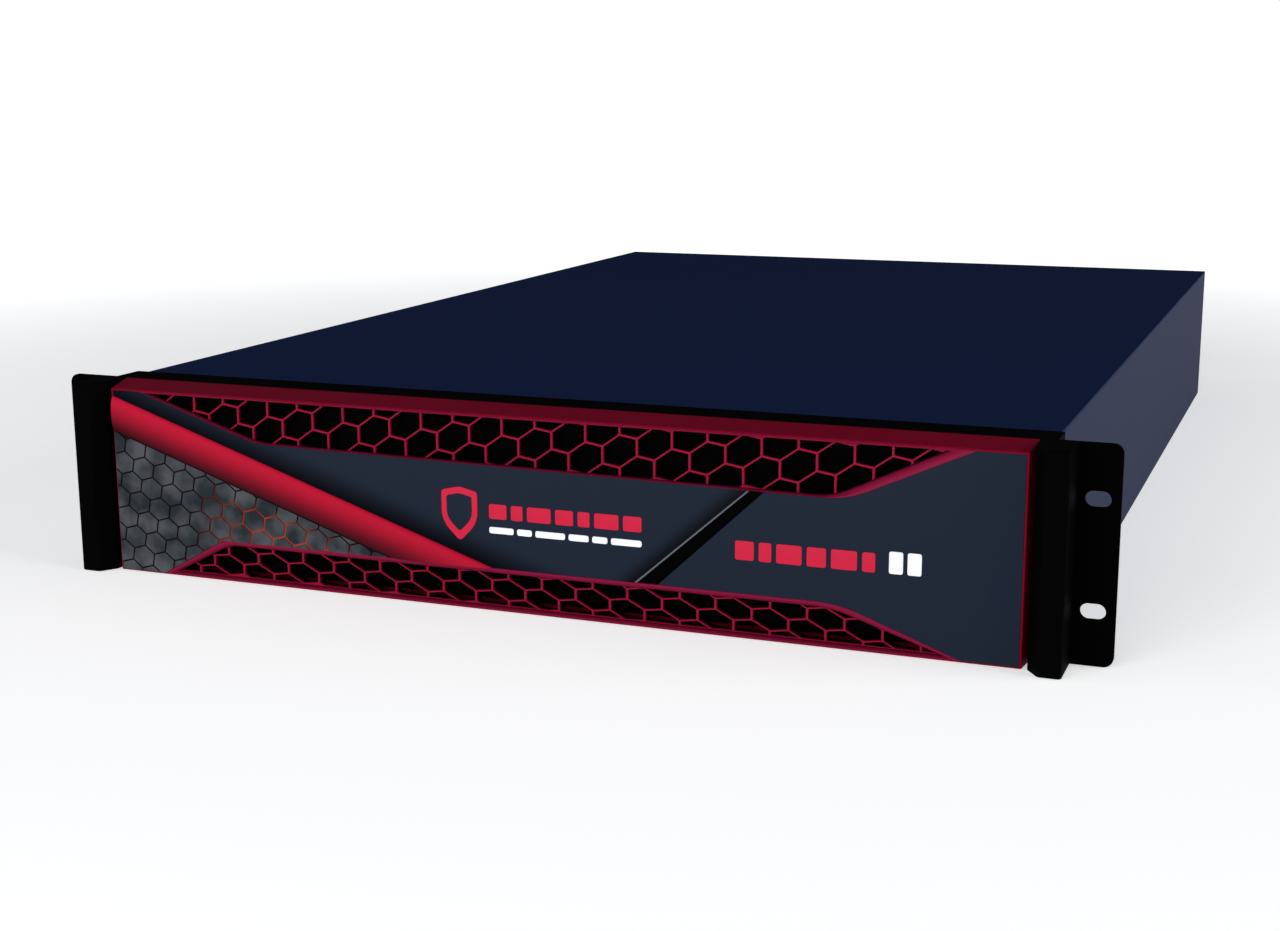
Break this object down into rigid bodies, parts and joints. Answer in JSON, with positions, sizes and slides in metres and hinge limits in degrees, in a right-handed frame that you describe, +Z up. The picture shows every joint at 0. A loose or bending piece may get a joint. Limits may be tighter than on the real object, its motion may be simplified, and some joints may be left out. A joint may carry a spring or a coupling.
{
  "type": "firewall appliance",
  "caption": "Two-unit rack security appliance: deep navy steel chassis with slotted ears, lift-off red and slate bezel with slanting grilles, cooling fans and plug-in power supplies.",
  "frame": {"origin": "centre of the four rack slots, on the rear face of the ears", "axes": "+X to the right seen from the front, +Y towards the rear of the chassis, +Z up"},
  "size_m": [0.4826, 0.689, 0.0882],
  "materials": {
    "powder_black": "fine powder coat",
    "powder_navy": "navy powder coat",
    "screw_steel": "zinc",
    "red_plastic": "satin red",
    "slate_plastic": "satin slate",
    "bright_plastic": "satin",
    "hex_grey": "mottled grey",
    "black_plastic": "fine grain",
    "badge_print": "gloss",
    "badge_white": "gloss",
    "filter_foam": "open foam",
    "board_green": "solder mask",
    "light_pipe": "clear",
    "fan_black": "moulded",
    "zinc_sheet": "zinc plated",
    "brass_post": "machined",
    "sink_aluminium": "extruded",
    "socket_metal": "nickel",
    "cable_black": "sleeved",
    "inlet_black": "moulded",
    "button_grey": "moulded",
    "handle_black": "moulded",
    "latch_orange": "moulded"
  },
  "bodies": {
    "chassis": {"ear_screws": "screw_steel", "rack_ear_left": "powder_black", "rack_ear_right": "powder_black", "chassis_tray": "powder_navy", "front_plate": "powder_black", "control_plate": "powder_black", "rear_panel": "powder_navy", "ball_studs": "screw_steel", "front_io_board": "board_green", "front_jacks": "black_plastic", "light_pipes": "light_pipe", "fan_frame_1": "fan_black", "fan_frame_2": "fan_black", "fan_frame_3": "fan_black", "fan_bracket": "zinc_sheet", "board_standoffs": "brass_post", "board_screws": "screw_steel", "main_board": "board_green", "processor_socket": "socket_metal", "heat_sink": "sink_aluminium", "memory_slots": "black_plastic", "memory_modules": "board_green", "air_shroud": "fan_black", "drive_card": "board_green", "network_jacks": "zinc_sheet", "optical_cages": "zinc_sheet", "management_ports": "zinc_sheet", "supply_bay": "zinc_sheet", "power_board": "board_green", "power_cable": "cable_black"},
    "bezel": {"bezel_frame": "red_plastic", "upper_grille": "red_plastic", "lower_grille": "red_plastic", "centre_panel": "slate_plastic", "accent_strip": "bright_plastic", "hex_inlay": "hex_grey", "diagonal_bar": "red_plastic", "end_block_left": "black_plastic", "end_block_right": "black_plastic", "badge_shield": "badge_print", "badge_red_bars": "badge_print", "badge_white_bars": "badge_white", "air_filter": "filter_foam"},
    "cover": {"top_cover": "powder_navy", "cover_screws": "screw_steel"},
    "power_button": {"power_button": "button_grey"},
    "reset_button": {"reset_button": "button_grey"},
    "fan_rotor_1": {"fan_rotor_1": "fan_black"},
    "fan_rotor_2": {"fan_rotor_2": "fan_black"},
    "fan_rotor_3": {"fan_rotor_3": "fan_black"},
    "supply_1": {"supply_case_1": "zinc_sheet", "mains_inlet_1": "inlet_black"},
    "supply_rotor_1": {"supply_rotor_1": "fan_black"},
    "supply_handle_1": {"supply_handle_1": "handle_black"},
    "supply_latch_1": {"supply_latch_1": "latch_orange"},
    "supply_2": {"supply_case_2": "zinc_sheet", "mains_inlet_2": "inlet_black"},
    "supply_rotor_2": {"supply_rotor_2": "fan_black"},
    "supply_handle_2": {"supply_handle_2": "handle_black"},
    "supply_latch_2": {"supply_latch_2": "latch_orange"}
  },
  "joints": [
    {"name": "bezel_pull", "type": "slide", "parent": "chassis", "child": "bezel", "axis": [0, -1, 0], "range_m": [0, 0.06]},
    {"name": "cover_lift", "type": "slide", "parent": "chassis", "child": "cover", "axis": [0, 0, 1], "range_m": [0, 0.12]},
    {"name": "fan_spin_1", "type": "hinge", "parent": "chassis", "child": "fan_rotor_1", "pos_m": [-0.152, 0.22, -0.00045], "axis": [0, 1, 0], "continuous": true},
    {"name": "fan_spin_2", "type": "hinge", "parent": "chassis", "child": "fan_rotor_2", "pos_m": [-0.032, 0.22, -0.00045], "axis": [0, 1, 0], "continuous": true},
    {"name": "fan_spin_3", "type": "hinge", "parent": "chassis", "child": "fan_rotor_3", "pos_m": [0.088, 0.22, -0.00045], "axis": [0, 1, 0], "continuous": true},
    {"name": "supply_slide_1", "type": "slide", "parent": "chassis", "child": "supply_1", "axis": [0, 1, 0], "range_m": [0, 0.2]},
    {"name": "supply_fan_spin_1", "type": "hinge", "parent": "supply_1", "child": "supply_rotor_1", "pos_m": [0.1923, 0.64, -0.02145], "axis": [0, 1, 0], "continuous": true},
    {"name": "handle_fold_1", "type": "hinge", "parent": "supply_1", "child": "supply_handle_1", "pos_m": [0.1923, 0.654, -0.00545], "axis": [1, 0, 0], "range_deg": [0, 90]},
    {"name": "latch_squeeze_1", "type": "slide", "parent": "supply_1", "child": "supply_latch_1", "axis": [-1, 0, 0], "range_m": [0, 0.002], "stiffness_N_per_m": 800},
    {"name": "supply_slide_2", "type": "slide", "parent": "chassis", "child": "supply_2", "axis": [0, 1, 0], "range_m": [0, 0.2]},
    {"name": "supply_fan_spin_2", "type": "hinge", "parent": "supply_2", "child": "supply_rotor_2", "pos_m": [0.1923, 0.64, 0.02055], "axis": [0, 1, 0], "continuous": true},
    {"name": "handle_fold_2", "type": "hinge", "parent": "supply_2", "child": "supply_handle_2", "pos_m": [0.1923, 0.654, 0.03655], "axis": [1, 0, 0], "range_deg": [0, 90]},
    {"name": "latch_squeeze_2", "type": "slide", "parent": "supply_2", "child": "supply_latch_2", "axis": [-1, 0, 0], "range_m": [0, 0.002], "stiffness_N_per_m": 800},
    {"name": "power_press", "type": "slide", "parent": "chassis", "child": "power_button", "axis": [0, 1, 0], "range_m": [0, 0.0015], "stiffness_N_per_m": 600},
    {"name": "reset_press", "type": "slide", "parent": "chassis", "child": "reset_button", "axis": [0, 1, 0], "range_m": [0, 0.0015], "stiffness_N_per_m": 600}
  ]
}
